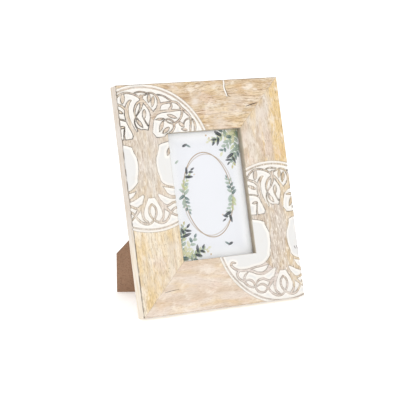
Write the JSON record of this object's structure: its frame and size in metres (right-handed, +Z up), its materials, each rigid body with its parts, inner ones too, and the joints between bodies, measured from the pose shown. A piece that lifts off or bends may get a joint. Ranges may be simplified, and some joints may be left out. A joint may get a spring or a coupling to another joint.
{
  "type": "wooden picture frame",
  "caption": "Standing wooden picture frame with wide mitred rails, carved tree medallions at opposite corners, a glazed print and a slanted easel strut hinged on the back.",
  "frame": {"origin": "On the table, at the middle of the rectangle that the standing frame and its open strut take up.", "axes": "+Z is up, -Y is towards the person who looks at the picture and +Y towards the strut, and +X is to the viewer's right."},
  "size_m": [0.2, 0.132, 0.2446],
  "materials": {
    "wood": "pale whitewashed wood with a visible grain, white paint in the carving and burnt brown edges round it",
    "glass": "clear flat picture glass",
    "paper": "matt white paper with a printed leaf design",
    "card": "grey-brown greyboard",
    "fibreboard": "smooth mid-brown fibreboard with darker cut edges",
    "steel": "plated steel strip, a little dull",
    "brass": "brass-plated, lightly worn"
  },
  "bodies": {
    "frame": {"rail_left": "wood", "rail_top": "wood", "rail_right": "wood", "rail_bottom": "wood", "v_nail_top_left_outer": "steel", "v_nail_top_left_inner": "steel", "v_nail_top_right_outer": "steel", "v_nail_top_right_inner": "steel", "v_nail_bottom_right_outer": "steel", "v_nail_bottom_right_inner": "steel", "v_nail_bottom_left_outer": "steel", "v_nail_bottom_left_inner": "steel", "glass_pane": "glass", "picture_print": "paper", "backing_card": "card", "back_board": "fibreboard", "turn_button_screw_left": "brass", "turn_button_screw_right": "brass", "turn_button_screw_top": "brass", "turn_button_screw_bottom": "brass", "hinge_board_leaf": "steel", "hinge_pin": "steel", "rivet_board_left": "steel", "rivet_board_right": "steel"},
    "strut": {"strut_board": "fibreboard", "hinge_strut_leaf": "steel", "rivet_strut_left": "steel", "rivet_strut_right": "steel"},
    "button_left": {"turn_button_left": "brass"},
    "button_right": {"turn_button_right": "brass"},
    "button_top": {"turn_button_top": "brass"},
    "button_bottom": {"turn_button_bottom": "brass"}
  },
  "joints": [
    {"name": "strut_fold", "type": "hinge", "parent": "frame", "child": "strut", "pos_m": [0.01335, -0.0148, 0.12745], "axis": [0.766, -0.1713, -0.6195], "range_deg": [-39.7, 0]},
    {"name": "button_left_turn", "type": "hinge", "parent": "frame", "child": "button_left", "pos_m": [-0.0615, -0.01414, 0.13469], "axis": [0, 0.9638, -0.2666], "continuous": true},
    {"name": "button_right_turn", "type": "hinge", "parent": "frame", "child": "button_right", "pos_m": [0.0615, -0.02214, 0.10578], "axis": [0, 0.9638, -0.2666], "continuous": true},
    {"name": "button_top_turn", "type": "hinge", "parent": "frame", "child": "button_top", "pos_m": [-0.028, 0.00492, 0.20361], "axis": [0, 0.9638, -0.2666], "continuous": true},
    {"name": "button_bottom_turn", "type": "hinge", "parent": "frame", "child": "button_bottom", "pos_m": [0.028, -0.0412, 0.03687], "axis": [0, 0.9638, -0.2666], "continuous": true}
  ]
}
